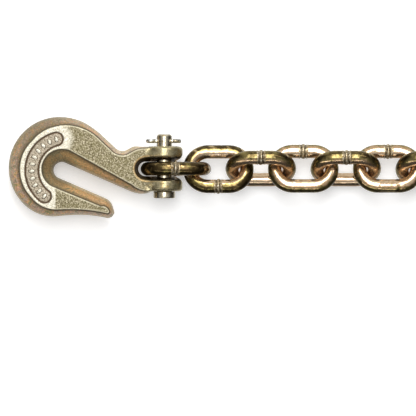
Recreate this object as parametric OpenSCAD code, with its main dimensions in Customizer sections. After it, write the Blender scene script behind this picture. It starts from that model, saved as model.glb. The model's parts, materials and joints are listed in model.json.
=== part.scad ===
// Load binder chain: a short run of welded links with a clevis grab hook pinned to each end.
// The chain lies along X, the hooks lie flat in the XY plane, and Z is up.
// The origin is on the surface the chain lies on, midway between the two hooks.

/* [Chain] */
// Diameter of the bar that a link is bent from
link_bar = 9.9; // [9.5:0.1:10]
// Length of the opening inside a link
link_inner_length = 31.4; // [31:0.1:33]
// Width of the opening inside a link
link_inner_width = 16.2; // [16:0.1:17]
// Slack between two links that pull on each other
link_slack = 0.7; // [0.7:0.05:1]
// Angle above flat at which every second link leans
lean_angle = 53; // [53:1:58]
// Angle below flat of the links between them
flat_angle = 17; // [17:1:20]
// How far the weld bead stands proud of the bar
weld_height = 0.3; // [0.1:0.05:0.5]
// Width of the weld bead along the bar
weld_width = 3.6; // [2:0.2:6]

/* [Hook] */
// Thickness of the hook across its two flat faces
hook_thickness = 19; // [18:0.5:20]
// Radius of the hook's round back
back_radius = 36.7; // [36:0.1:37]
// Width of the grab slot at mid-thickness
slot_width = 12.2; // [12:0.1:12.4]
// Angle by which the slot slopes down from the chain line
slot_slope = 23.7; // [23:0.1:24]
// Radius of the seat at the closed end of the slot
seat_radius = 6.5; // [6.4:0.05:6.6]
// Width of the marking panel on each face
panel_width = 10.4; // [8:0.2:11]
// Depth of the marking panel
panel_depth = 0.6; // [0.2:0.1:1]

/* [Clevis] */
// Width over the two ears
clevis_width = 32.4; // [31:0.2:34]
// Width of the throat between the ears at mid-thickness, just over the link's bar
clevis_gap = 11.8; // [11.6:0.1:12.6]
// Width of the throat where it opens out on to each face
throat_mouth = 16.5; // [15:0.1:17.5]
// Distance from the pin's axis to the bottom of the throat at each face
throat_depth = 20.8; // [20:0.1:22]
// Radius of the ears round the pin
ear_radius = 13.3; // [12.5:0.1:14]
// Chamfer round the outer edge of each ear
ear_chamfer = 2; // [0.5:0.1:3]

/* [Pin and cotter] */
// Diameter of the clevis pin
pin_diameter = 11.1; // [10:0.1:11.5]
// Radial clearance of the pin in the ears
pin_clearance = 0.05; // [0.02:0.01:0.1]
// Diameter of the pin's head
head_diameter = 15.8; // [14:0.2:18]
// Thickness of the pin's head
head_height = 4.9; // [3:0.1:6]
// Length of the pin beyond the far ear
pin_tail = 8.7; // [8:0.1:10]
// Distance from the far ear to the cotter's axis
cotter_offset = 4; // [3.6:0.1:4.2]
// Diameter of the folded cotter wire
cotter_diameter = 3; // [2.6:0.1:3.2]

/* [Hidden] */
$fn = 64;
link_count = 15;

// Links: centreline of a link, spacing along the chain, and turn of each link about the chain line
crown_radius = (link_inner_width + link_bar) / 2;
link_straight = link_inner_length - link_inner_width;
link_reach = (link_inner_length + link_bar) / 2;
link_pitch = link_inner_length - link_slack;
pin_play = 1.8;
pin_to_link = link_reach - link_bar / 2 - pin_diameter / 2 - pin_play;
function link_name(i) = str("link_", i < 10 ? "0" : "", i);
function link_x(i) = (i - (link_count + 1) / 2) * link_pitch;
function is_end_link(i) = i == 1 || i == link_count;
function link_angle(i) = is_end_link(i) ? 90 : i % 2 == 0 ? -flat_angle : lean_angle;
// The links next to the end links show their weld on the other side of the chain
function weld_side(i) = i == 2 || i == link_count - 1 ? -1 : 1;

// Hook outline: centres and radii of its arcs, from the pin's axis
back_centre = [-75.5, 0.7];
crest_drop = 2.8;
crest_centre = back_centre - [0, crest_drop];
crest_radius = back_radius + crest_drop;
heel_radius = 30;
heel_centre = back_centre + (back_radius - heel_radius) * [cos(226.8), sin(226.8)];
toe_centre = [-41.1, -30.7];
toe_radius = 4.2;
sole_radius = 120;
sole_centre = touching(heel_centre, heel_radius + sole_radius, toe_centre, toe_radius + sole_radius);
nose_centre = [-46.4, -30];
nose_radius = 9.5;
slot_centre = [-74, -1];
belly_centre = [-16, 4.3];
belly_radius = 22;
neck_centre = [-29.5, 20];
neck_radius = 8.7;
shoulder_centre = [-13.7, -5.3];
blade_edge = clevis_width / 2 - 0.4;
shoulder_radius = blade_edge - shoulder_centre.y;
slot_normal = 90 - slot_slope;
// The crest runs into the neck along a line at this angle
fall_angle = 45;

// Marking panel: a band round the slot's closed end
panel_centre = [-71.9, -1.35];
panel_radius = 23.25;
panel_start = 104;
panel_sweep = 128.6;

// The hook's rounded rim as steps: [share of the thickness, share of the bevel taken off the outline].
// The first step is the straight land at mid-thickness, where the slot is narrowest.
rim_steps = [[0.4, 0], [0.56, 0.1], [0.7, 0.26], [0.82, 0.46], [0.92, 0.7], [1, 0.94]];

// The throat's flare as steps: it opens from mid-thickness to its full width at this height
flare_height = 11;
flare_steps = 4;
flare_depth = 0.9;

// The throat's mouth: past this distance from the pin's axis its walls spread at this angle
mouth_start = 7;
mouth_slope = 30;

// Placing: the chain line stands half a link's width up, and the object is centred in X and Y
chain_z = crown_radius + link_bar / 2;
hook_top = crest_centre.y + crest_radius;
hook_bottom = toe_centre.y - toe_radius;
chain_y = -(hook_top + hook_bottom) / 2;
pin_x = link_x(link_count) + pin_to_link;

// Pin and cotter along the pin's axis
head_gap = 0.2;
pin_chamfer = 1.2;
cotter_y = clevis_width / 2 + cotter_offset;
cotter_hole_clearance = 0.2;
eye_gap = 0.3;
eye_radius = 3.8;
leg_wire = 1.9;
leg_bend = 40;
leg_offset = 0.4;
leg_length = 7;

// Direction from one point to another
function bearing(from, to) = atan2(to.y - from.y, to.x - from.x);

// The lower of the two points that lie at the given distances from a and from b
function touching(a, reach_a, b, reach_b) =
    let (gap = norm(b - a))
    let (along = (reach_a * reach_a - reach_b * reach_b + gap * gap) / (2 * gap))
    let (across = sqrt(reach_a * reach_a - along * along))
    a + ((b - a) * along + [(b - a).y, (a - b).x] * across) / gap;

// Points of an arc as [point, outward normal, bevel]; side is 1 for a bulge and -1 for a hollow
function arc(centre, radius, start, end, bevels, side = 1, step = 9) =
    let (count = max(1, ceil(abs(end - start) / step)))
    [
        for (i = [0:count])
            let (share = i / count)
            let (a = start + (end - start) * share)
            let (direction = [cos(a), sin(a)])
            [centre + radius * direction, side * direction, bevels[0] + (bevels[1] - bevels[0]) * share]
    ];

// The outline at mid-thickness, anticlockwise from the upper ear round to the lower ear
hook_outline = concat(
    [[[-2, blade_edge], [0, 1], 1.3]],
    arc(shoulder_centre, shoulder_radius, 90, bearing(shoulder_centre, neck_centre), [1.3, 1.3]),
    arc(neck_centre, neck_radius, bearing(neck_centre, shoulder_centre), -90 - fall_angle, [1.3, 2.2], -1),
    arc(crest_centre, crest_radius, fall_angle, 90, [3, 6.5]),
    arc(back_centre, back_radius, 99, 135, [7.2, 9.2]),
    arc(back_centre, back_radius, 144, bearing(heel_centre, back_centre) + 180, [9.2, 7.3]),
    arc(heel_centre, heel_radius, bearing(heel_centre, back_centre) + 189, 360 + bearing(heel_centre, sole_centre),
        [7, 4.4]),
    arc(sole_centre, sole_radius, bearing(sole_centre, heel_centre), bearing(sole_centre, toe_centre),
        [4.3, 2.8], -1, 6),
    arc(toe_centre, toe_radius, bearing(sole_centre, toe_centre) - 180, bearing(nose_centre, toe_centre),
        [2.7, 2], 1, 20),
    arc(nose_centre, nose_radius, bearing(nose_centre, toe_centre) + 12, slot_normal, [2.2, 6], 1, 12),
    arc(slot_centre, slot_width / 2, slot_normal + 180, slot_normal, [7.5, 9.2], -1, 12),
    arc(belly_centre, belly_radius, slot_normal + 180, 270, [3.4, 1.2]),
    [[[-8, -blade_edge], [0, -1], 1], [[-2, -blade_edge], [0, -1], 1]]
);

// The forged blade: the outline in steps that draw in from mid-thickness to each face
module blade() {
    for (rim = rim_steps)
        linear_extrude(rim[0] * hook_thickness, center = true)
            polygon([for (p = hook_outline) p[0] - p[1] * p[2] * rim[1]]);
}

// The round eye of the clevis, about the pin's axis
module ears() {
    half = clevis_width / 2;
    rotate([90, 0, 0]) rotate_extrude()
        polygon([
            [0, -half], [ear_radius - ear_chamfer, -half], [ear_radius, -half + ear_chamfer],
            [ear_radius, half - ear_chamfer], [ear_radius - ear_chamfer, half], [0, half]
        ]);
}

// What the throat takes out: a round-ended gap, wider towards each face and at its mouth
module throat() {
    top = ear_radius + 1;
    rise = tan(mouth_slope);
    start_half = clevis_gap / 2 - rise;
    end_half = clevis_gap / 2 + (top - mouth_start) * rise;
    linear_extrude(2 * top, center = true)
        polygon([[mouth_start - 1, start_half], [top, end_half], [top, -end_half], [mouth_start - 1, -start_half]]);
    for (k = [0:flare_steps]) {
        share = 1 - cos(90 * k / flare_steps);
        half_gap = (clevis_gap + share * (throat_mouth - clevis_gap)) / 2;
        end_x = half_gap - throat_depth + (1 - share) * flare_depth;
        bottom = k == 0 ? -top : flare_height * k / flare_steps;
        for (face = k == 0 ? [0] : [0, 1]) mirror([0, 0, face]) translate([end_x, 0, bottom]) {
            cylinder(r = half_gap, h = top - bottom);
            translate([0, -half_gap, 0]) cube([2 * top, 2 * half_gap, top - bottom]);
        }
    }
}

// What a marking panel takes out of the face, as a band with round ends
module panel_recess() {
    translate([each panel_centre, hook_thickness / 2 - panel_depth]) {
        rotate([0, 0, panel_start]) rotate_extrude(angle = panel_sweep)
            translate([panel_radius - panel_width / 2, 0]) square([panel_width, 2 * panel_depth]);
        for (a = [panel_start, panel_start + panel_sweep])
            translate(panel_radius * [cos(a), sin(a)]) cylinder(d = panel_width, h = 2 * panel_depth);
    }
}

// One clevis grab hook, with the pin's axis at the origin and the chain towards +X
module grab_hook() {
    color("#a9995c") difference() {
        union() {
            blade();
            ears();
        }
        throat();
        rotate([90, 0, 0])
            cylinder(r = pin_diameter / 2 + pin_clearance, h = clevis_width + 2, center = true);
        translate([each slot_centre, -hook_thickness]) cylinder(r = seat_radius, h = 2 * hook_thickness);
        panel_recess();
        rotate([180, 0, 0]) mirror([0, 1, 0]) panel_recess();
    }
}

// One clevis pin, its head under the near ear and its tail drilled for the cotter
module clevis_pin() {
    head_top = -clevis_width / 2 - head_gap;
    tail = clevis_width / 2 + pin_tail;
    shank = pin_diameter / 2;
    head = head_diameter / 2;
    edge = head_height / 6;
    color("#b9b7ae") difference() {
        rotate([-90, 0, 0]) rotate_extrude()
            polygon([
                [0, head_top - head_height], [head - edge, head_top - head_height],
                [head, head_top - head_height + edge], [head, head_top - edge], [head - edge, head_top],
                [shank, head_top], [shank, tail - pin_chamfer], [shank - pin_chamfer, tail], [0, tail]
            ]);
        translate([0, cotter_y, 0]) rotate([0, 90, 0])
            cylinder(d = cotter_diameter + 2 * cotter_hole_clearance, h = pin_diameter + 2, center = true);
    }
}

// One split cotter: an eye on the hook's side, a shank through the pin and two legs bent apart
module split_cotter() {
    eye_x = -pin_diameter / 2 - eye_gap - eye_radius;
    shank_start = eye_x + eye_radius - leg_wire / 2;
    shank_end = pin_diameter / 2 + eye_gap;
    color("#c4c2b8") translate([0, cotter_y, 0]) {
        translate([eye_x, 0, 0]) rotate([90, 0, 0]) rotate_extrude()
            translate([eye_radius - leg_wire / 2, 0]) circle(d = leg_wire);
        translate([shank_start, 0, 0]) rotate([0, 90, 0])
            cylinder(d = cotter_diameter, h = shank_end - shank_start);
        for (side = [-1, 1])
            translate([shank_end - leg_wire / 2, 0, side * leg_offset])
                rotate([0, 90 - side * leg_bend, 0]) cylinder(d = leg_wire, h = leg_length);
    }
}

// One welded link, in place in the chain
module chain_link(i) {
    color("#8f7a3a") translate([link_x(i), chain_y, chain_z]) rotate([link_angle(i), 0, 0]) {
        for (turn = [-90, 90])
            rotate([0, 0, turn]) translate([0, link_straight / 2, 0])
                rotate_extrude(angle = 180) translate([crown_radius, 0]) circle(d = link_bar);
        for (side = [-1, 1])
            translate([-link_straight / 2, side * crown_radius, 0]) rotate([0, 90, 0])
                cylinder(d = link_bar, h = link_straight);
        translate([-weld_width / 2, weld_side(i) * crown_radius, 0]) rotate([0, 90, 0])
            cylinder(d = link_bar + 2 * weld_height, h = weld_width);
    }
}

// The left end of the chain, and the right end turned half round about the hook's upright line
module at_left() {
    translate([-pin_x, chain_y, chain_z]) children();
}

module at_right() {
    translate([pin_x, chain_y, chain_z]) rotate([0, 180, 0]) children();
}

module hook_left() { at_left() grab_hook(); }
module pin_left() { at_left() clevis_pin(); }
module cotter_left() { at_left() split_cotter(); }
module hook_right() { at_right() grab_hook(); }
module pin_right() { at_right() clevis_pin(); }
module cotter_right() { at_right() split_cotter(); }

hook_left();
pin_left();
cotter_left();
hook_right();
pin_right();
cotter_right();
for (i = [1:link_count]) chain_link(i);
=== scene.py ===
import json
import math

import bmesh
import bpy
import numpy as np
from mathutils import Matrix, Vector


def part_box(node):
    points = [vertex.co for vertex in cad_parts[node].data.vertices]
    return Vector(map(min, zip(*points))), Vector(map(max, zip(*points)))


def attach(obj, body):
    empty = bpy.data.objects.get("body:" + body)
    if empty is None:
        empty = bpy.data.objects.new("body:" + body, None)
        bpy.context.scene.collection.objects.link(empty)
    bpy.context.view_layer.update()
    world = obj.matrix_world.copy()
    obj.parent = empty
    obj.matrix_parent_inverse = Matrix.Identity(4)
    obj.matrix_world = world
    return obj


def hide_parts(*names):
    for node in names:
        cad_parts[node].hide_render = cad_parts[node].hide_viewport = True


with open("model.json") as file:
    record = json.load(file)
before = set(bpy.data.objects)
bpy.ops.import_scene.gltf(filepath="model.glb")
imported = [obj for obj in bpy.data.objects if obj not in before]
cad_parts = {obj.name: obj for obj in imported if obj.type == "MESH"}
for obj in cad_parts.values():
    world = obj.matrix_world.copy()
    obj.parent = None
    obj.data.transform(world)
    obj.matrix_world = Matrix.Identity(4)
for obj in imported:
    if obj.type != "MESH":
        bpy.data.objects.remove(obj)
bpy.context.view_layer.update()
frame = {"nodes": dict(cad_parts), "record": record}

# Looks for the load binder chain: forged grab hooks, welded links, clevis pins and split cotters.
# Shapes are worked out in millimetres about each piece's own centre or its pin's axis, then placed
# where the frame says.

MM = 0.001
joint_at = {j["name"]: Vector(j["pos_m"]) for j in frame["record"]["behaviour"]["joints"]}
link_names = sorted(name for name in frame["nodes"] if name.startswith("link_"))
SIDES = ("left", "right")


# ---------------------------------------------------------------- meshes

def polar(degrees):
    """Unit vector at an angle."""
    return np.array([math.cos(math.radians(degrees)), math.sin(math.radians(degrees))])


def add_piece(name, points, faces, material, placing):
    """A mesh piece from points in millimetres, placed by a matrix in metres."""
    mesh = bpy.data.meshes.new(name)
    mesh.from_pydata(np.asarray(points) * MM, [], faces)
    mesh.transform(placing)
    mesh.materials.append(material)
    mesh.shade_smooth()
    mesh.update()
    piece = bpy.data.objects.new(name, mesh)
    bpy.context.scene.collection.objects.link(piece)
    return piece


def grid_faces(rows, columns, close_rows=False):
    """Quads of a grid of rows by columns that closes round its columns, and round its rows if asked."""
    last = rows if close_rows else rows - 1
    r, c = np.meshgrid(np.arange(last), np.arange(columns), indexing="ij")
    below, beside = (r + 1) % rows, (c + 1) % columns
    corners = [r * columns + c, r * columns + beside, below * columns + beside, below * columns + c]
    return np.stack(corners, -1).reshape(-1, 4).tolist()


def capped(points, faces, rows, columns):
    """A tube's faces with a fan over each open end."""
    first, last = len(points), len(points) + 1
    ends = np.array([points[:columns].mean(0), points[-columns:].mean(0)])
    start = (rows - 1) * columns
    fans = [[first, (c + 1) % columns, c] for c in range(columns)]
    fans += [[last, start + c, start + (c + 1) % columns] for c in range(columns)]
    return np.vstack([points, ends]), faces + fans


def smooth_max(a, b, k):
    """The larger of two fields, rounded over a width k where they meet."""
    h = np.clip(0.5 + 0.5 * (a - b) / k, 0, 1)
    return b + (a - b) * h + k * h * (1 - h)


def smooth_min(a, b, k):
    """The smaller of two fields, rounded over a width k where they meet."""
    return -smooth_max(-a, -b, k)


def smooth_step(low, high, value):
    """0 at low, 1 at high, with no corners between."""
    t = np.clip((value - low) / (high - low), 0, 1)
    return t * t * (3 - 2 * t)


def surface_net(field, low, high, cell):
    """Quads over the zero surface of field(x, y, z), which is negative inside."""
    axes = [np.arange(a, b + cell, cell) for a, b in zip(low, high)]
    value = field(*np.meshgrid(*axes, indexing="ij", sparse=True))
    inside = value < 0
    shape = np.array(value.shape) - 1
    corners = [(i, j, k) for i in (0, 1) for j in (0, 1) for k in (0, 1)]

    def shifted(array, corner):
        return array[tuple(slice(o, o + n) for o, n in zip(corner, shape))]

    count = sum(shifted(inside, c).astype(np.int8) for c in corners)
    cells = np.argwhere((count > 0) & (count < 8))
    number = np.full(shape, -1)
    number[tuple(cells.T)] = np.arange(len(cells))
    at = {c: value[tuple((cells + c).T)] for c in corners}
    total, crossings = np.zeros((len(cells), 3)), np.zeros(len(cells))
    for a in corners:
        for axis in range(3):
            if a[axis]:
                continue
            b = tuple(v + (n == axis) for n, v in enumerate(a))
            cut = (at[a] < 0) != (at[b] < 0)
            share = at[a] / np.where(cut, at[a] - at[b], 1)
            place = np.array(a, float) + np.outer(share, np.eye(3)[axis])
            total += place * cut[:, None]
            crossings += cut
    points = np.array(low) + (cells + total / crossings[:, None]) * cell
    quads = []
    for axis in range(3):
        u, v = (axis + 1) % 3, (axis + 2) % 3
        ahead = np.take(inside, np.arange(1, inside.shape[axis]), axis)
        here = np.take(inside, np.arange(inside.shape[axis] - 1), axis)
        for leaving in (True, False):
            edges = np.argwhere((here & ~ahead) if leaving else (~here & ahead))
            step_u, step_v = np.eye(3, dtype=int)[u], np.eye(3, dtype=int)[v]
            ring = [edges - step_u - step_v, edges - step_v, edges, edges - step_u]
            quad = np.stack([number[tuple(r.T)] for r in ring], 1)
            quads.append(quad if leaving else quad[:, ::-1])
    return points, np.vstack(quads)


def slope_of(field, points, step):
    """The gradient of a field at points."""
    slope = np.empty_like(points)
    for axis in range(3):
        off = np.eye(3)[axis] * step
        slope[:, axis] = (field(*(points + off).T) - field(*(points - off).T)) / (2 * step)
    return slope


def settle(field, points, rounds):
    """Points moved along the field's slope on to its zero surface."""
    for _ in range(rounds):
        slope = slope_of(field, points, 0.03)
        reach = field(*points.T) / np.maximum((slope ** 2).sum(1), 0.05)
        points = points - np.clip(reach, -0.4, 0.4)[:, None] * slope
    return points


def evened(field, points, quads, rounds):
    """Points drawn to the middle of their neighbours and back on to the surface, for even quads."""
    a, b = quads.ravel(), np.roll(quads, -1, axis=1).ravel()
    for _ in range(rounds):
        total = np.zeros_like(points)
        for axis in range(3):
            total[:, axis] = np.bincount(a, points[b, axis], len(points))
        near = np.bincount(a, minlength=len(points))[:, None]
        points = settle(field, 0.5 * points + 0.5 * total / near, 1)
    return settle(field, points, 2)


# ---------------------------------------------------------------- grab hook, about the pin's axis

# All in millimetres. Half the forging's thickness, half the height of its upright side, and the
# height by which each face stands above the rim
HALF = 9.5
LAND = 3.6
STEP = 0.75
EAR_RADIUS = 13.3
EAR_HALF = 16.2
EAR_EDGE = 2.8
THROAT_NARROW = 5.2
THROAT_MOUTH = 8.4
THROAT_DEPTH = 20.8
THROAT_FLARE = 10.5
THROAT_WEB = 2.0
MOUTH_START = 7.5
MOUTH_SLOPE = 0.52
BORE = 5.62
PANEL_CENTRE = np.array([-71.9, -1.35])
PANEL_RADIUS = 23.25
PANEL_HALF = 5.2
PANEL_ANGLES = (104.0, 232.6)
MESH_CELL = 0.65
PIPS = 11
PIP_LENGTH = 2.5
PIP_WIDTH = 1.45
PIP_FOOT = HALF - 0.35
PIP_HEIGHT = 0.6


def tangent_centre(centre_a, reach_a, centre_b, reach_b):
    """The lower of the two points at the given distances from two centres."""
    between = centre_b - centre_a
    gap = np.hypot(*between)
    along = (reach_a ** 2 - reach_b ** 2 + gap ** 2) / (2 * gap)
    off = math.sqrt(reach_a ** 2 - along ** 2)
    across = np.array([between[1], -between[0]]) / gap
    return centre_a + between / gap * along + across * off


def bearing(a, b):
    """The angle of b seen from a, in degrees."""
    return math.degrees(math.atan2(b[1] - a[1], b[0] - a[0]))


def hook_outline():
    """The outline as arcs, anticlockwise: (centre, radius, start, end, rim widths, side, slot share).
    Side is 1 on a bulge and -1 in a hollow. Straight lines join the arcs."""
    shoulder, neck, back = np.array([-13.7, -5.3]), np.array([-29.5, 20.0]), np.array([-75.5, 0.7])
    crest, toe, nose = back - [0, 2.8], np.array([-41.1, -30.7]), np.array([-46.4, -30.0])
    slot, belly = np.array([-74.0, -1.0]), np.array([-16.0, 4.3])
    heel = back + (36.7 - 30) * polar(226.8)
    sole = tangent_centre(heel, 150, toe, 124.2)
    up = 66.3
    return [
        (shoulder, 21.1, 90, bearing(shoulder, neck), (1.2, 1.3), 1, 0),
        (neck, 8.7, bearing(neck, shoulder), -135, (1.3, 2.2), -1, 0),
        (crest, 39.5, 45, 90, (2.8, 6.4), 1, 0),
        (back, 36.7, 90, 135, (6.7, 9.4), 1, 0),
        (back, 36.7, 135, 226.8, (9.4, 7.5), 1, 0),
        (heel, 30, 226.8, 360 + bearing(heel, sole), (7.4, 4.5), 1, 0),
        (sole, 120, bearing(sole, heel), bearing(sole, toe), (4.5, 2.8), -1, 0),
        (toe, 4.2, bearing(sole, toe) - 180, bearing(nose, toe), (2.8, 2.4), 1, 0),
        (nose, 9.5, bearing(nose, toe), up, (2.4, 6.5), 1, 0.6),
        (slot, 6.1, up + 180, up, (7.3, 9.4), -1, 1),
        (belly, 22, up + 180, 281, (4.6, 1.2), 1, 0.4),
        (np.array([-8.5, -16.1]), 0, 0, 0, (1.0, 1.0), 1, 0),
        (np.array([-2.0, -15.8]), 0, 0, 0, (1.0, 1.0), 1, 0),
        (np.array([-2.0, 15.8]), 0, 0, 0, (1.0, 1.0), 1, 0),
    ]


OUTLINE = hook_outline()


def outline_fields(x, y):
    """Depth inside the outline, and the width and slot share of the rim nearest to each point."""
    nearest = np.full(np.broadcast(x, y).shape, 1e9)
    depth, width, slot = (np.zeros(nearest.shape) for _ in range(3))

    def keep(near_x, near_y, normal_x, normal_y, share, widths, slots):
        off_x, off_y = x - near_x, y - near_y
        distance = np.hypot(off_x, off_y)
        closer = distance < nearest
        outside = off_x * normal_x + off_y * normal_y > 0
        nearest[closer] = distance[closer]
        depth[closer] = np.where(outside, -distance, distance)[closer]
        width[closer] = (widths[0] + (widths[1] - widths[0]) * share)[closer]
        slot[closer] = (slots[0] + (slots[1] - slots[0]) * share)[closer]

    for arc, after in zip(OUTLINE, OUTLINE[1:] + OUTLINE[:1]):
        centre, radius, start, end, widths, side, share = arc
        if radius:
            middle, half = math.radians((start + end) / 2), math.radians((end - start) / 2)
            turn = np.arctan2(y - centre[1], x - centre[0]) - middle
            turn = np.clip((turn + math.pi) % (2 * math.pi) - math.pi, -abs(half), abs(half))
            way_x, way_y = np.cos(middle + turn), np.sin(middle + turn)
            keep(centre[0] + radius * way_x, centre[1] + radius * way_y, side * way_x, side * way_y,
                 0.5 + 0.5 * turn / half, widths, (share, share))
        first = centre + radius * polar(end)
        last = after[0] + after[1] * polar(after[2])
        run = last - first
        length = np.hypot(*run)
        if length > 0.01:
            along = np.clip(((x - first[0]) * run[0] + (y - first[1]) * run[1]) / length ** 2, 0, 1)
            keep(first[0] + along * run[0], first[1] + along * run[1], run[1] / length, -run[0] / length,
                 along, (widths[1], after[4][0]), (share, after[6]))
    return depth, width, slot


def panel_distance(x, y):
    """Distance outside the edge of the marking panel, negative inside it."""
    low, high = (math.radians(a) for a in PANEL_ANGLES)
    middle, half = (low + high) / 2, (high - low) / 2
    turn = np.arctan2(y - PANEL_CENTRE[1], x - PANEL_CENTRE[0]) - middle
    turn = np.clip((turn + math.pi) % (2 * math.pi) - math.pi, -half, half)
    near_x = PANEL_CENTRE[0] + PANEL_RADIUS * np.cos(middle + turn)
    near_y = PANEL_CENTRE[1] + PANEL_RADIUS * np.sin(middle + turn)
    return np.hypot(x - near_x, y - near_y) - PANEL_HALF


def bell(value, spread):
    """1 at zero, falling away over spread on both sides."""
    return np.exp(-(value / spread) ** 2)


def throat_field(x, y, height):
    """How far inside the throat's open space a point is; the throat flares towards each face."""
    share = 1 - np.cos(math.pi / 2 * np.minimum(height / THROAT_FLARE, 1))
    half = THROAT_NARROW + (THROAT_MOUTH - THROAT_NARROW) * share
    # A low web across the inner end stands just clear of the link at either end of its swing
    web = THROAT_WEB * (1 - 0.7 * smooth_step(0, 5, height) - 0.3 * smooth_step(5, 10, height))
    back = half - THROAT_DEPTH + web
    mouth = MOUTH_SLOPE * np.maximum(x - MOUTH_START, 0)
    return half + mouth - np.hypot(np.minimum(x - back, 0), y)


def hook_field(x, y, z):
    """Signed field of the forged hook, negative inside."""
    depth, width, _ = outline_fields(x, y)
    height = np.abs(z)
    # The side: an upright land with the trimmed flash line round the middle, then the sloping rim
    land = -depth + 0.03 * height - 0.2 * bell(z, 0.8)
    run, rise = width - 0.5, HALF - STEP - LAND
    rim = ((height - LAND) * run - depth * rise) / np.hypot(run, rise)
    side = smooth_max(land, rim, np.minimum(3.0, 0.5 + 0.4 * width))
    side = smooth_max(side, height - (HALF - STEP), 0.4)
    # The face stands a step above the rim, with the panel's groove sunk in it
    edge = panel_distance(x, y)
    sunk = 0.25 * smooth_step(0.0, -0.8, edge) + 0.6 * bell(edge + 0.45, 0.5)
    wall = 0.94 * (width - depth) + 0.34 * (height - HALF)
    face = smooth_max(wall, height - (HALF - sunk), 0.55)
    # Its drafted wall may stand past the outline at mid-thickness, but not on the ears,
    # where the pin's head bears
    past = 2.4 * smooth_step(0, -12, x + np.where(y > 0, 14, 24))
    face = smooth_max(face, land - past, 0.3)
    blade = smooth_min(side, face, 0.35)
    # The clevis eye, blended into the blade along its faces but not past its flanks
    across = np.hypot(x, z) - (EAR_RADIUS - EAR_EDGE)
    beyond = np.abs(y) - (EAR_HALF - EAR_EDGE)
    ear = np.minimum(np.maximum(across, beyond), 0)
    ear = ear + np.hypot(np.maximum(across, 0), np.maximum(beyond, 0)) - EAR_EDGE
    blend = 0.6 + 5.0 * (1 - smooth_step(9, 15.5, np.abs(y)))
    body = smooth_min(blade, ear, blend)
    # The throat and the bore
    body = smooth_max(body, throat_field(x, y, height), 1.6 + 1.2 * smooth_step(4, 13, x))
    return smooth_max(body, BORE - np.hypot(x, z), 0.7)


def refined(points, quads, chosen):
    """The mesh with the chosen faces split in four."""
    mesh = bmesh.new()
    verts = [mesh.verts.new(p) for p in points]
    faces = [mesh.faces.new([verts[i] for i in q]) for q in quads]
    edges = {e for f, pick in zip(faces, chosen) if pick for e in f.edges}
    bmesh.ops.subdivide_edges(mesh, edges=list(edges), cuts=1, use_grid_fill=True)
    mesh.verts.index_update()
    points = np.array([v.co[:] for v in mesh.verts])
    faces = [[v.index for v in f.verts] for f in mesh.faces]
    mesh.free()
    return points, faces


def hook_mesh():
    """Points and faces of one hook, fine where its edges and its panel's groove are."""
    low, high = (-113.2, -36.2, -14.4), (14.6, 38.6, 14.4)
    points, quads = surface_net(hook_field, low, high, MESH_CELL)
    points = evened(hook_field, points, quads, 3)
    middle = points[quads].mean(1)
    depth, width, _ = outline_fields(middle[:, 0], middle[:, 1])
    top = np.abs(middle[:, 2]) > HALF - STEP - 0.6
    crease = np.abs(depth - width + 0.1) < 0.75
    groove = np.abs(panel_distance(middle[:, 0], middle[:, 1]) + 0.5) < 1.3
    points, faces = refined(points, quads, top & (crease | groove) & (middle[:, 0] < -8))
    return settle(hook_field, points, 4), faces


def hook_marks(points):
    """Masks that the hook's finish follows, each from 0 to 1 at every point."""
    x, y, z = points.T
    depth, width, slot = outline_fields(x, y)
    edge = panel_distance(x, y)
    eye = smooth_step(-17, -11, x)
    low = smooth_step(HALF - 0.35, HALF - 0.7, np.abs(z))
    on_top = np.abs(z) > HALF - 2
    space = throat_field(x, y, np.abs(z))
    beside = depth - width
    # The pressed area round the panel ends sharply where the tip's arm begins
    arm = smooth_step(-78.3, -77.7, x) * (y < -12)
    # Painted shade round the upper back of the rim and in the closed end of the slot
    around = np.degrees(np.arctan2(y - 0.7, x + 75.5))
    hollow = smooth_step(17, 9, np.hypot(x + 76, y + 1))
    return {
        "rim": low * (1 - eye),
        # A lighter olive-grey outer edge to the rim: painted reflection along the upright land
        "edge": smooth_step(0.3, 0.14, depth / width) * low,
        # Painted shade inside the throat, fading out towards the faces
        "throat": smooth_step(-0.6, -0.1, space) * smooth_step(10.5, 9.0, np.abs(z)),
        # A painted highlight: a gold line round the throat's opening on each face
        "lip_highlight": bell(space + 0.95, 0.32) * (np.abs(z) > 7) * smooth_step(0, -12, x) * 0.8,
        "back_and_slot_shade": np.maximum(bell(around - 112, 52) * (around > 0), hollow * slot) * low * (1 - eye),
        "eye": smooth_step(-14.5, -10.5, x),
        "slot": slot,
        # Painted shade in the crease where the face meets the rim
        "crease": bell(beside + 0.35, 0.45) * on_top * (1 - eye),
        "shade": smooth_step(-0.45, -0.05, beside / width) * low * (1 - eye),
        # A painted highlight along the face's edge, beside the crease
        "brow_highlight": bell(beside - 0.45, 0.4) * on_top * (1 - eye),
        # Painted shade in the panel's groove
        "groove": bell(edge + 0.45, 0.65) * on_top,
        "panel": smooth_step(0.2, -0.6, edge) * on_top,
        "pressed": smooth_step(9.0, 2.5, edge) * on_top * (1 - arm),
    }


# ---------------------------------------------------------------- materials

def nodes_of(name):
    """A new material's node tree, its shader and its object coordinates."""
    material = bpy.data.materials.new(name)
    material.use_nodes = True
    tree = material.node_tree
    shader = tree.nodes["Principled BSDF"]
    place = tree.nodes.new("ShaderNodeTexCoord").outputs["Object"]
    return material, tree, shader, place


def feed(tree, socket, value):
    """Links an output to a socket, or sets its number or colour."""
    if isinstance(value, bpy.types.NodeSocket):
        tree.links.new(value, socket)
    elif isinstance(value, tuple) and len(value) == 3 and socket.type == "RGBA":
        socket.default_value = (*value, 1)
    else:
        socket.default_value = value


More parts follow.
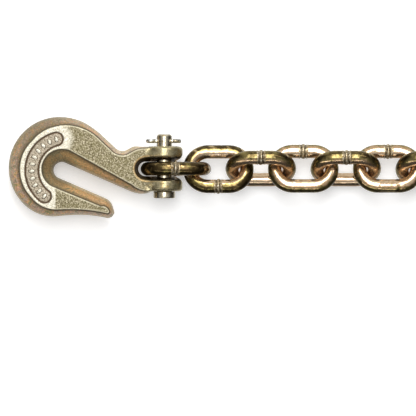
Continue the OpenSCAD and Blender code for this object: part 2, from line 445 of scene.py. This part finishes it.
def noise(tree, place, size, detail=3.0, roughness=0.55, stretch=(1, 1, 1), shift=0.0, spread=0.0):
    """Noise whose lumps are about size millimetres across."""
    mapping = tree.nodes.new("ShaderNodeMapping")
    feed(tree, mapping.inputs["Vector"], place)
    mapping.inputs["Scale"].default_value = [1 / (size * MM * s) for s in stretch]
    mapping.inputs["Location"].default_value = (shift, 2 * shift, 3 * shift)
    node = tree.nodes.new("ShaderNodeTexNoise")
    feed(tree, node.inputs["Vector"], mapping.outputs["Vector"])
    node.inputs["Scale"].default_value = 1
    node.inputs["Detail"].default_value = detail
    node.inputs["Roughness"].default_value = roughness
    node.inputs["Distortion"].default_value = spread
    return node.outputs["Fac"]


def pits(tree, place, size):
    """Distance to the nearest of scattered points about size millimetres apart."""
    node = tree.nodes.new("ShaderNodeTexVoronoi")
    feed(tree, node.inputs["Vector"], place)
    node.inputs["Scale"].default_value = 1 / (size * MM)
    return node.outputs["Distance"]


def ramp(tree, value, *stops):
    """A colour ramp over (place, colour or grey) stops."""
    node = tree.nodes.new("ShaderNodeValToRGB")
    feed(tree, node.inputs["Fac"], value)
    bar = node.color_ramp
    while len(bar.elements) < len(stops):
        bar.elements.new(0.5)
    for element, (at, colour) in zip(bar.elements, stops):
        element.position = at
        element.color = (*colour, 1) if isinstance(colour, tuple) else (colour, colour, colour, 1)
    return node.outputs["Color"]


def blend(tree, share, a, b, kind="MIX"):
    """Colour a turned into colour b by share."""
    node = tree.nodes.new("ShaderNodeMix")
    node.data_type = "RGBA"
    node.blend_type = kind
    feed(tree, node.inputs[0], share)
    colour_a, colour_b = (socket for socket in node.inputs if socket.type == "RGBA")
    feed(tree, colour_a, a)
    feed(tree, colour_b, b)
    return next(socket for socket in node.outputs if socket.type == "RGBA")


def sums(tree, kind, a, b, c=None):
    """One arithmetic step."""
    node = tree.nodes.new("ShaderNodeMath")
    node.operation = kind
    feed(tree, node.inputs[0], a)
    feed(tree, node.inputs[1], b)
    if c is not None:
        feed(tree, node.inputs[2], c)
    return node.outputs[0]


def mask(tree, name):
    """A mask stored on the mesh."""
    node = tree.nodes.new("ShaderNodeAttribute")
    node.attribute_name = name
    return node.outputs["Fac"]


def tinted(tree, name, strength, a, b):
    """Colour a turned into colour b where a stored mask is, by strength at most."""
    return blend(tree, sums(tree, "MULTIPLY", mask(tree, name), strength), a, b)


def bump(tree, height, distance, strength=1.0, below=None):
    """A normal roughened by height, distance in millimetres."""
    node = tree.nodes.new("ShaderNodeBump")
    node.inputs["Strength"].default_value = strength
    node.inputs["Distance"].default_value = distance * MM
    feed(tree, node.inputs["Height"], height)
    if below is not None:
        feed(tree, node.inputs["Normal"], below)
    return node.outputs["Normal"]


def hook_finish():
    """Yellow chromate over a blasted forging: khaki speckled faces and an iridescent rim, with painted shade
    in the grooves, the crease, the throat and round the upper back, painted highlights along the face's edge
    and round the throat's opening, and a painted reflection on the rim's outer edge.
    """
    material, tree, shader, place = nodes_of("hook_chromate")
    rim, slot = mask(tree, "rim"), mask(tree, "slot")
    grit = noise(tree, place, 1.05, detail=2.5, roughness=0.65)
    dapple = noise(tree, place, 3.2, detail=3.0, shift=3.1)
    face = ramp(tree, grit, (0.32, (0.05, 0.04, 0.015)), (0.5, (0.20, 0.165, 0.09)),
                (0.68, (0.58, 0.52, 0.37)))
    face = blend(tree, ramp(tree, dapple, (0.35, 0.0), (0.75, 0.5)), face, (0.19, 0.165, 0.06))
    bare = ramp(tree, grit, (0.30, (0.36, 0.32, 0.22)), (0.6, (0.78, 0.74, 0.62)))
    face = blend(tree, mask(tree, "pressed"), face, bare)
    inlay = ramp(tree, grit, (0.35, (0.15, 0.12, 0.07)), (0.62, (0.50, 0.43, 0.33)))
    face = blend(tree, mask(tree, "panel"), face, inlay)
    drift = noise(tree, place, 6.0, detail=5.0, roughness=0.6, shift=7.7, spread=1.5)
    film_and_shade = ramp(tree, drift, (0.36, (0.31, 0.30, 0.17)), (0.43, (0.64, 0.36, 0.29)),
                (0.48, (0.46, 0.47, 0.29)), (0.52, (0.72, 0.40, 0.29)), (0.57, (0.78, 0.46, 0.20)),
                (0.64, (0.34, 0.33, 0.17)))
    inner = ramp(tree, drift, (0.36, (0.26, 0.22, 0.10)), (0.5, (0.62, 0.33, 0.11)),
                 (0.62, (0.36, 0.28, 0.12)))
    film_and_shade = blend(tree, slot, film_and_shade, inner)
    # Painted reflection, lighter olive-grey, on the rim's outer edge
    film_and_shade = tinted(tree, "edge", 0.6, film_and_shade, (0.56, 0.50, 0.33))
    film_and_shade = tinted(tree, "shade", 0.8, film_and_shade, (0.13, 0.10, 0.045))
    # Painted shade round the upper back and in the slot's closed end
    film_and_shade = tinted(tree, "back_and_slot_shade", 0.68, film_and_shade, (0.15, 0.12, 0.06))
    speck = ramp(tree, noise(tree, place, 1.0, detail=3.0, shift=5.0), (0.3, 0.6), (0.7, 1.25))
    film_and_shade = blend(tree, 1.0, film_and_shade, speck, "MULTIPLY")
    eye = mask(tree, "eye")
    drawn = ramp(tree, drift, (0.40, (0.38, 0.33, 0.17)), (0.5, (0.54, 0.47, 0.30)),
                 (0.62, (0.44, 0.33, 0.14)))
    colour = blend(tree, rim, face, film_and_shade)
    colour = tinted(tree, "eye", 0.7, colour, drawn)
    # Near-black painted shade in the crease between face and rim
    colour = tinted(tree, "crease", 0.85, colour, (0.05, 0.04, 0.02))
    # Pale painted highlight along the face's edge
    colour = tinted(tree, "brow_highlight", 0.5, colour, (0.85, 0.78, 0.58))
    # Dark brown painted shade in the panel's groove and round the pips' feet
    colour = blend(tree, mask(tree, "groove"), colour, (0.085, 0.04, 0.012))
    # Gold painted highlight round the throat's opening
    colour = blend(tree, mask(tree, "lip_highlight"), colour, (0.72, 0.47, 0.19))
    # Near-black painted shade inside the throat
    colour = blend(tree, mask(tree, "throat"), colour, (0.055, 0.035, 0.012))
    feed(tree, shader.inputs["Base Color"], colour)
    gleam = ramp(tree, rim, (0.0, 0.55), (1.0, 0.22))
    feed(tree, shader.inputs["Metallic"], blend(tree, eye, gleam, (0.8, 0.8, 0.8)))
    dull = ramp(tree, dapple, (0.3, 0.38), (0.7, 0.52))
    feed(tree, shader.inputs["Roughness"], blend(tree, eye, dull, (0.25, 0.25, 0.25)))
    rough_skin = ramp(tree, eye, (0.0, 1.0), (1.0, 0.2))
    pitted = bump(tree, blend(tree, 1.0, pits(tree, place, 0.9), rough_skin, "MULTIPLY"), 0.16, 0.6)
    grain = blend(tree, 1.0, grit, rough_skin, "MULTIPLY")
    feed(tree, shader.inputs["Normal"], bump(tree, grain, 0.22, 0.6, pitted))
    return material


def chain_finish():
    """Polished yellow chromate in pale gold, with painted shade darkening the outside of each link to brown,
    broken by a few gold painted highlights.
    """
    material, tree, shader, place = nodes_of("chain_chromate")
    drift = noise(tree, place, 9.0, detail=3.0, roughness=0.55, spread=0.8)
    pale = ramp(tree, drift, (0.35, (0.58, 0.46, 0.29)), (0.47, (0.68, 0.50, 0.34)),
                (0.57, (0.54, 0.38, 0.22)), (0.68, (0.72, 0.56, 0.43)))
    # Dark brown painted shade for the outer flanks, with gold painted highlights where the drift runs high
    brown = ramp(tree, drift, (0.36, (0.19, 0.15, 0.05)), (0.44, (0.09, 0.065, 0.025)),
                 (0.55, (0.07, 0.045, 0.018)), (0.61, (0.28, 0.20, 0.08)), (0.67, (0.72, 0.58, 0.38)))
    streaks = noise(tree, place, 3.0, detail=3.0, shift=9.0, spread=0.5)
    # Painted shade over each link's outer flanks, broken up by streaks: tan, then olive, then brown
    outside = sums(tree, "MULTIPLY_ADD", streaks, 0.36, mask(tree, "outside"))
    film_and_shade = blend(tree, ramp(tree, outside, (0.50, 0.0), (0.60, 1.0)), pale, (0.58, 0.38, 0.22))
    film_and_shade = blend(tree, ramp(tree, outside, (0.58, 0.0), (0.66, 1.0)), film_and_shade, (0.30, 0.24, 0.09))
    film_and_shade = blend(tree, ramp(tree, outside, (0.64, 0.0), (0.76, 1.0)), film_and_shade, brown)
    weld = mask(tree, "weld")
    scale = noise(tree, place, 1.1, detail=3.0, roughness=0.7, shift=2.0)
    flash = ramp(tree, scale, (0.38, (0.13, 0.08, 0.03)), (0.50, (0.50, 0.39, 0.23)),
                 (0.64, (0.84, 0.78, 0.62)))
    colour = tinted(tree, "weld", 0.9, film_and_shade, flash)
    colour = blend(tree, mask(tree, "groove"), colour, (0.06, 0.035, 0.012))
    feed(tree, shader.inputs["Base Color"], colour)
    shader.inputs["Metallic"].default_value = 0.95
    scuff = noise(tree, place, 1.6, detail=4.0, roughness=0.65, shift=4.0)
    rough = ramp(tree, scuff, (0.35, 0.12), (0.75, 0.27))
    feed(tree, shader.inputs["Roughness"], blend(tree, weld, rough, (0.36, 0.36, 0.36)))
    wavy = bump(tree, noise(tree, place, 6.0, detail=2.0, shift=6.0), 0.35, 0.6)
    feed(tree, shader.inputs["Normal"], bump(tree, scuff, 0.05, 0.7, wavy))
    return material


def zinc_finish(name, light, dark, rough_low, rough_high):
    """Bright zinc plate with fine turning or drawing marks and a faint gold stain."""
    material, tree, shader, place = nodes_of(name)
    cloud = noise(tree, place, 3.0, detail=4.0, roughness=0.6)
    colour = ramp(tree, cloud, (0.3, dark), (0.55, light), (0.75, (0.62, 0.52, 0.34)))
    feed(tree, shader.inputs["Base Color"], colour)
    shader.inputs["Metallic"].default_value = 1.0
    marks = noise(tree, place, 0.5, detail=3.0, stretch=(6, 0.6, 6), shift=1.0)
    feed(tree, shader.inputs["Roughness"], ramp(tree, marks, (0.3, rough_low), (0.7, rough_high)))
    feed(tree, shader.inputs["Normal"], bump(tree, marks, 0.03, 0.7))
    return material


FINISH = {
    "hook": hook_finish(),
    "chain": chain_finish(),
    "pin": zinc_finish("pin_zinc", (0.68, 0.62, 0.48), (0.40, 0.31, 0.16), 0.14, 0.3),
    "cotter": zinc_finish("cotter_zinc", (0.80, 0.80, 0.78), (0.52, 0.50, 0.45), 0.18, 0.36),
}


def mark(piece, masks):
    """Stores masks on a piece's points."""
    for name, values in masks.items():
        layer = piece.data.attributes.new(name, "FLOAT", "POINT")
        layer.data.foreach_set("value", np.asarray(values, np.float32))


# ---------------------------------------------------------------- placing at the two ends

def end_matrix(side):
    """From a hook's own frame to the row frame: the right end is turned half round about Y."""
    turn = Matrix.Identity(4) if side == "left" else Matrix.Rotation(math.pi, 4, "Y")
    return Matrix.Translation(joint_at[f"clevis_{side}_swing"]) @ turn


def make_hooks():
    """Both hooks from one mesh, with raised pips along the marking panel of each face."""
    points, faces = hook_mesh()
    normals = slope_of(hook_field, points, 0.06)
    normals /= np.linalg.norm(normals, axis=1)[:, None]
    masks = hook_marks(points)
    for side in SIDES:
        placing = end_matrix(side)
        hook = add_piece(f"forged_hook_{side}", points, faces, FINISH["hook"], placing)
        turned = normals @ np.array(placing.to_3x3()).T
        hook.data.normals_split_custom_set_from_vertices(turned)
        mark(hook, masks)
        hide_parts(f"hook_{side}")
        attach(hook, f"hook_{side}")
        pips = make_pips(side, placing)
        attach(pips, f"hook_{side}")


def make_pips(side, placing):
    """A row of plain raised pips in each marking panel, standing where a maker's marking would be."""
    rings, columns = 6, 24
    points, faces, foot = [], [], []
    for sign in (1, -1):
        for n in range(PIPS):
            angle = PANEL_ANGLES[0] + (PANEL_ANGLES[1] - PANEL_ANGLES[0]) * n / (PIPS - 1)
            x, y = PANEL_CENTRE + PANEL_RADIUS * polar(angle)
            first = len(points)
            for r in range(rings):
                lift = math.pi / 2 * r / rings
                foot += [float(r < 3)] * columns
                for c in range(columns):
                    a = 2 * math.pi * c / columns * sign
                    along = PIP_LENGTH * math.cos(a) * polar(angle)
                    out = (along + PIP_WIDTH * math.sin(a) * polar(angle + 90)) * math.cos(lift)
                    points.append((x + out[0], y + out[1], sign * (PIP_FOOT + PIP_HEIGHT * math.sin(lift))))
            foot += [0.0, 0.0]
            points.append((x, y, sign * (PIP_FOOT + PIP_HEIGHT)))
            points.append((x, y, sign * (HALF - 0.9)))
            faces += [[first + i for i in face] for face in grid_faces(rings, columns)]
            top, bottom, last = len(points) - 2, len(points) - 1, first + (rings - 1) * columns
            faces += [[last + c, last + (c + 1) % columns, top] for c in range(columns)]
            faces += [[first + (c + 1) % columns, first + c, bottom] for c in range(columns)]
    pips = add_piece(f"marking_pips_{side}", points, faces, FINISH["hook"], placing)
    # The lower rings of each pip take the groove's painted shade
    mark(pips, {"pressed": np.ones(len(points)), "groove": foot})
    return pips


# ---------------------------------------------------------------- links

# Radius of the bar, radius of a link's bent ends, and half the length of its straight sides
BAR = 4.95
CROWN = 13.05
STRAIGHT = 7.6
# How far links are turned about the chain line, in degrees
LEAN, FLAT, UPRIGHT = 53.0, -17.0, 90.0
PADDED_LINK = 6
# How strong the painted shade round the outside is, on the end links and their neighbours, and on the rest
STRONG_OUTER_SHADE, WEAK_OUTER_SHADE = 1.0, 0.56


def link_stations():
    """Distances along one link's centreline from the middle of its +Y bar, closer near both bar middles."""
    lap = 4 * STRAIGHT + 2 * math.pi * CROWN
    fine = np.arange(-6.0, 6.0, 0.4)
    coarse = np.linspace(6.0, lap / 2 - 6.0, 44)[1:-1]
    half = np.concatenate([fine, coarse])
    return np.concatenate([half, half + lap / 2]) % lap, lap


def link_line(s, lap):
    """Point and outward normal on the centreline at distance s, in the link's own plane."""
    s = s % lap
    if s < STRAIGHT or s > lap - STRAIGHT:
        x = -(s if s < STRAIGHT else s - lap)
        return np.array([x, CROWN]), np.array([0.0, 1.0])
    arc = math.pi * CROWN
    if s < STRAIGHT + arc:
        turn = 90 + math.degrees((s - STRAIGHT) / CROWN)
        return np.array([-STRAIGHT, 0]) + CROWN * polar(turn), polar(turn)
    if s < 3 * STRAIGHT + arc:
        return np.array([-STRAIGHT + (s - STRAIGHT - arc), -CROWN]), np.array([0.0, -1.0])
    turn = 270 + math.degrees((s - 3 * STRAIGHT - arc) / CROWN)
    return np.array([STRAIGHT, 0]) + CROWN * polar(turn), polar(turn)


def link_mesh(seed, padded, outer_shade):
    """Points, faces and masks of one link with its weld on the +Y bar, and a plain pad opposite if asked.
    The last argument is how strong the painted shade round its outside is."""
    rng = np.random.default_rng(seed)
    waves = [(n, rng.uniform(0, 2 * math.pi), rng.uniform(0.3, 1.0)) for n in (2, 3, 5, 7)]
    columns = 44
    around = np.arange(columns) * 2 * math.pi / columns
    uneven = sum(size * np.sin(n * around + phase) for n, phase, size in waves) / 2
    stations, lap = link_stations()
    points, weld, groove = [], [], []
    for s in stations:
        at, out = link_line(s, lap)
        near = (s + lap / 2) % lap - lap / 2
        opposite = (s % lap) - lap / 2
        wander = near + 0.4 * uneven
        flash = bell(wander, 0.7)
        upset = smooth_step(3.4, 2.6, np.abs(wander))
        cut = bell(np.abs(wander) - 1.6, 0.5) * (0.75 + 0.3 * uneven)
        radius = BAR + 0.2 * upset + flash * (0.4 + 0.12 * uneven) - 0.5 * cut
        if padded:
            tilt = np.angle(np.exp(1j * (around - math.radians(58))))
            inside = smooth_step(6.9, 6.2, abs(opposite)) * smooth_step(3.1, 2.6, np.abs(tilt) * BAR)
            radius = radius + 0.45 * inside
        across = np.array([out[0], out[1], 0.0])
        ring = np.array([at[0], at[1], 0.0]) + np.outer(radius * np.cos(around), across)
        ring[:, 2] += radius * np.sin(around)
        points.append(ring)
        weld.append(upset)
        groove.append(np.clip(cut, 0, 1))
    rows = len(stations)
    masks = {
        "weld": np.concatenate(weld),
        "groove": np.concatenate(groove),
        # Painted shade mask: 1 facing straight out from the link, 0 facing in
        "outside": np.tile(0.5 + 0.5 * np.cos(around), rows) * outer_shade,
    }
    return np.vstack(points), grid_faces(rows, columns, True), masks


def make_links():
    """One piece for each link, turned about the chain line as it lies."""
    for n, name in enumerate(link_names, 1):
        low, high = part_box(name)
        end = n in (1, len(link_names))
        next_to_end = n in (2, len(link_names) - 1)
        turn = UPRIGHT if end else FLAT if n % 2 == 0 else LEAN
        flip = Matrix.Rotation(math.pi, 4, "X") if next_to_end else Matrix.Identity(4)
        placing = Matrix.Translation((low + high) / 2) @ Matrix.Rotation(math.radians(turn), 4, "X") @ flip
        # End links and their neighbours take the stronger painted shade
        outer_shade = STRONG_OUTER_SHADE if end or next_to_end else WEAK_OUTER_SHADE
        points, faces, masks = link_mesh(n, n == PADDED_LINK, outer_shade)
        link = add_piece(f"welded_{name}", points, faces, FINISH["chain"], placing)
        mark(link, masks)
        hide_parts(name)
        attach(link, name)


# ---------------------------------------------------------------- pins and cotters

PIN_RADIUS = 5.55
HEAD_RADIUS = 7.9
HEAD_TOP = -16.4
HEAD_HEIGHT = 4.9
TAIL = 24.9
COTTER_Y = 20.2
HOLE_RADIUS = 1.72
WIRE_RADIUS = 1.5


def rounded(corners, radii, steps=6):
    """An open profile whose corners are rounded by the given radii."""
    line = [np.array(corners[0], float)]
    for before, at, after, radius in zip(corners, corners[1:], corners[2:], radii):
        before, at, after = (np.array(p, float) for p in (before, at, after))
        back, on = before - at, after - at
        back, on = back / np.hypot(*back), on / np.hypot(*on)
        half = math.acos(np.clip(back @ on, -1, 1)) / 2
        start, end = at + back * radius / math.tan(half), at + on * radius / math.tan(half)
        for t in np.linspace(0, 1, steps):
            line.append((1 - t) ** 2 * start + 2 * t * (1 - t) * at + t ** 2 * end)
    line.append(np.array(corners[-1], float))
    return np.array(line)


def lathe(profile, columns):
    """Points and faces turned about Y from (radius, y) pairs, closed at both ends."""
    around = np.arange(columns) * 2 * math.pi / columns
    points = np.vstack([
        np.stack([radius * np.cos(around), np.full(columns, y), -radius * np.sin(around)], 1)
        for radius, y in profile
    ])
    return capped(points, grid_faces(len(profile), columns), len(profile), columns)


def make_pin(side, placing):
    """A headed clevis pin, drilled for its cotter, with rounded and dished ends."""
    base = HEAD_TOP - HEAD_HEIGHT
    head = [(0.3, base + 0.35), (4.6, base), (HEAD_RADIUS, base), (HEAD_RADIUS, HEAD_TOP)]
    shaft = [(PIN_RADIUS, HEAD_TOP), (PIN_RADIUS, TAIL - 1.3), (PIN_RADIUS - 1.0, TAIL)]
    dish = [(2.6, TAIL), (0.3, TAIL - 0.25)]
    profile = rounded(head + shaft + dish, [1.5, 1.1, 0.7, 0.25, 0.5, 0.4, 0.6])
    shank = [(PIN_RADIUS, y) for y in np.linspace(HEAD_TOP + 1, TAIL - 3, 30)]
    tail = np.argmax(profile[:, 1] > TAIL - 2.5)
    profile = np.vstack([profile[:tail], shank, profile[tail:]])
    points, faces = lathe(profile, 64)
    pin = add_piece(f"clevis_pin_{side}", points, faces, FINISH["pin"], placing)
    hole = np.array([(HOLE_RADIUS, y) for y in (-9, 9)])
    points, faces = lathe(hole, 32)
    turned = placing @ Matrix.Translation((0, COTTER_Y * MM, 0)) @ Matrix.Rotation(math.pi / 2, 4, "Z")
    drill = add_piece(f"drill_{side}", points, faces, FINISH["pin"], turned)
    cut = pin.modifiers.new("cotter_hole", "BOOLEAN")
    cut.operation = "DIFFERENCE"
    cut.solver = "EXACT"
    cut.object = drill
    bpy.context.view_layer.update()
    drilled = bpy.data.meshes.new_from_object(pin.evaluated_get(bpy.context.evaluated_depsgraph_get()))
    pin.modifiers.clear()
    pin.data = drilled
    bpy.data.objects.remove(drill)
    drilled.set_sharp_from_angle(angle=math.radians(40))
    return pin


def cotter_line():
    """The centre of the cotter wire's flat side: leg, shank, round the eye, shank and leg, in X and Z."""
    eye, throat, wire_gap = 2.3, 1.2, 0.04
    eye_x = -(PIN_RADIUS + 0.3 + 3.8)
    flare_x = eye_x + math.sqrt((eye + throat) ** 2 - throat ** 2)
    meet = math.degrees(math.asin(throat / (eye + throat)))
    bend, bend_radius, leg = 40, 1.8, 6.4
    bend_x = PIN_RADIUS + 0.6
    top = []
    tip = np.array([bend_x, wire_gap]) + bend_radius * np.array([math.sin(math.radians(bend)),
                                                                1 - math.cos(math.radians(bend))])
    for t in np.linspace(leg, 0.3, 10):
        top.append(tip + t * polar(bend))
    for a in np.linspace(bend, 0, 8):
        top.append(np.array([bend_x, wire_gap + bend_radius]) + bend_radius * polar(a - 90))
    for x in np.linspace(bend_x, flare_x, 14)[1:-1]:
        top.append(np.array([x, wire_gap]))
    for a in np.linspace(0, 90 - meet, 7):
        top.append(np.array([flare_x, wire_gap + throat]) + throat * polar(-90 - a))
    for a in np.linspace(meet, 180, 22)[1:]:
        top.append(np.array([eye_x, wire_gap]) + eye * polar(a))
    top = np.array(top)
    return np.vstack([top, (top * [1, -1])[-2::-1]])


def make_cotter(side, placing):
    """A split cotter bent from one half-round wire, flat side inwards."""
    line = cotter_line()
    ahead = np.gradient(line, axis=0)
    ahead /= np.linalg.norm(ahead, axis=1)[:, None]
    out = np.stack([ahead[:, 1], -ahead[:, 0]], 1)
    arc = np.linspace(0, math.pi, 13)
    section = WIRE_RADIUS * np.stack([np.cos(arc), np.sin(arc)], 1)
    flat = 0.9 * WIRE_RADIUS
    section = np.vstack([section, [(-flat, -0.03), (0, -0.03), (flat, -0.03)]])
    rings = []
    for n, (at, way) in enumerate(zip(line, out)):
        end = min(n, len(line) - 1 - n)
        shrink = (0.55, 0.86, 1.0)[min(end, 2)]
        middle = 0.5 * WIRE_RADIUS
        ring = [(at[0] + way[0] * (middle + (h - middle) * shrink), COTTER_Y + w * shrink,
                 at[1] + way[1] * (middle + (h - middle) * shrink)) for w, h in section]
        rings.append(ring)
    columns = len(section)
    points = np.array(rings).reshape(-1, 3)
    points, faces = capped(points, grid_faces(len(line), columns), len(line), columns)
    cotter = add_piece(f"split_cotter_{side}", points, faces, FINISH["cotter"], placing)
    cotter.data.set_sharp_from_angle(angle=math.radians(50))
    return cotter


def make_pins():
    """The pin and the cotter at each end."""
    for side in SIDES:
        placing = end_matrix(side)
        for piece, node, slot in (
            (make_pin(side, placing), f"pin_{side}", "pin_zinc"),
            (make_cotter(side, placing), f"cotter_{side}", "cotter_zinc"),
        ):
            fix_normals(piece)
            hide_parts(node)
            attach(piece, f"pin_{side}")


def fix_normals(piece):
    """Turns every face outwards."""
    mesh = bmesh.new()
    mesh.from_mesh(piece.data)
    bmesh.ops.recalc_face_normals(mesh, faces=mesh.faces)
    mesh.to_mesh(piece.data)
    mesh.free()


make_hooks()
make_links()
make_pins()


# ---------------------------------------------------------------- floor, light and camera

def make_floor():
    """A plain pale floor."""
    mesh = bpy.data.meshes.new("floor")
    reach = 9
    corners = [(-reach, -reach, 0), (reach, -reach, 0), (reach, reach, 0), (-reach, reach, 0)]
    mesh.from_pydata(corners, [], [(0, 1, 2, 3)])
    floor = bpy.data.objects.new("floor", mesh)
    bpy.context.scene.collection.objects.link(floor)
    material, tree, shader, place = nodes_of("pale_floor")
    shader.inputs["Base Color"].default_value = (0.95, 0.95, 0.95, 1)
    shader.inputs["Roughness"].default_value = 0.9
    shader.inputs["Emission Color"].default_value = (1, 1, 1, 1)
    shader.inputs["Emission Strength"].default_value = 0.3
    mesh.materials.append(material)
    # Polished bars mirror the dim surroundings of the studio and not the floor beneath them
    floor.visible_glossy = False


def softbox(name, at, size, power, aim):
    """A rectangular soft light, unseen by the camera."""
    light = bpy.data.lights.new(name, "AREA")
    light.shape = "RECTANGLE"
    light.size, light.size_y = size
    light.energy = power
    lamp = bpy.data.objects.new(name, light)
    lamp.location = at
    lamp.rotation_euler = (Vector(aim) - Vector(at)).to_track_quat("-Z", "Y").to_euler()
    lamp.visible_camera = False
    bpy.context.scene.collection.objects.link(lamp)


def make_world():
    """Soft surroundings: bright overhead, dim towards the horizon, pale straight below."""
    world = bpy.data.worlds.new("studio")
    bpy.context.scene.world = world
    world.use_nodes = True
    tree = world.node_tree
    sky = tree.nodes.new("ShaderNodeTexCoord").outputs["Generated"]
    apart = tree.nodes.new("ShaderNodeSeparateXYZ")
    feed(tree, apart.inputs[0], sky)
    height = sums(tree, "MULTIPLY_ADD", apart.outputs["Z"], 0.5, 0.5)
    shade = ramp(tree, height, (0.0, 0.9), (0.12, 0.7), (0.30, 0.08), (0.5, 0.04), (0.68, 0.06), (0.85, 0.30),
                 (1.0, 0.75))
    # A pale wall along the far side, low down, so that bars catch a light edge there
    aside = sums(tree, "ABSOLUTE", apart.outputs["X"], 0.0)
    wall = sums(tree, "MULTIPLY", ramp(tree, apart.outputs["Y"], (0.15, 0.0), (0.5, 1.0)),
                ramp(tree, aside, (0.45, 1.0), (0.75, 0.0)))
    shade = blend(tree, wall, shade, (0.85, 0.85, 0.82))
    background = tree.nodes["Background"]
    feed(tree, background.inputs["Color"], shade)
    background.inputs["Strength"].default_value = 1.0


def make_camera():
    """Straight down on the left hook and the first links, as the close view is taken."""
    data = bpy.data.cameras.new("camera")
    camera = bpy.data.objects.new("camera", data)
    bpy.context.scene.collection.objects.link(camera)
    pin = joint_at["clevis_left_swing"]
    view_width, height = 0.3006, 2.0
    across, along = 0.0316, -0.02825
    camera.location = (pin.x + across, pin.y + along, pin.z + height)
    data.sensor_width = 36
    data.lens = data.sensor_width * height / view_width
    data.clip_end = 20
    bpy.context.scene.camera = camera


def make_lights():
    """One large softbox overhead towards the far side, and a thin strip on each side."""
    centre = Vector((joint_at["clevis_left_swing"].x + 0.03, 0, 0))
    softbox("overhead", centre + Vector((0, 0.55, 1.1)), (0.5, 1.35), 10.0, centre + Vector((0, 0.3, 0)))
    softbox("strip_far", centre + Vector((0.4, 0.9, 1.05)), (1.5, 0.12), 3.0, centre)
    softbox("strip_near", centre + Vector((-0.3, -1.0, 0.9)), (1.8, 0.12), 2.5, centre)


make_floor()
make_world()
make_lights()
make_camera()
bpy.context.scene.view_settings.view_transform = "Standard"
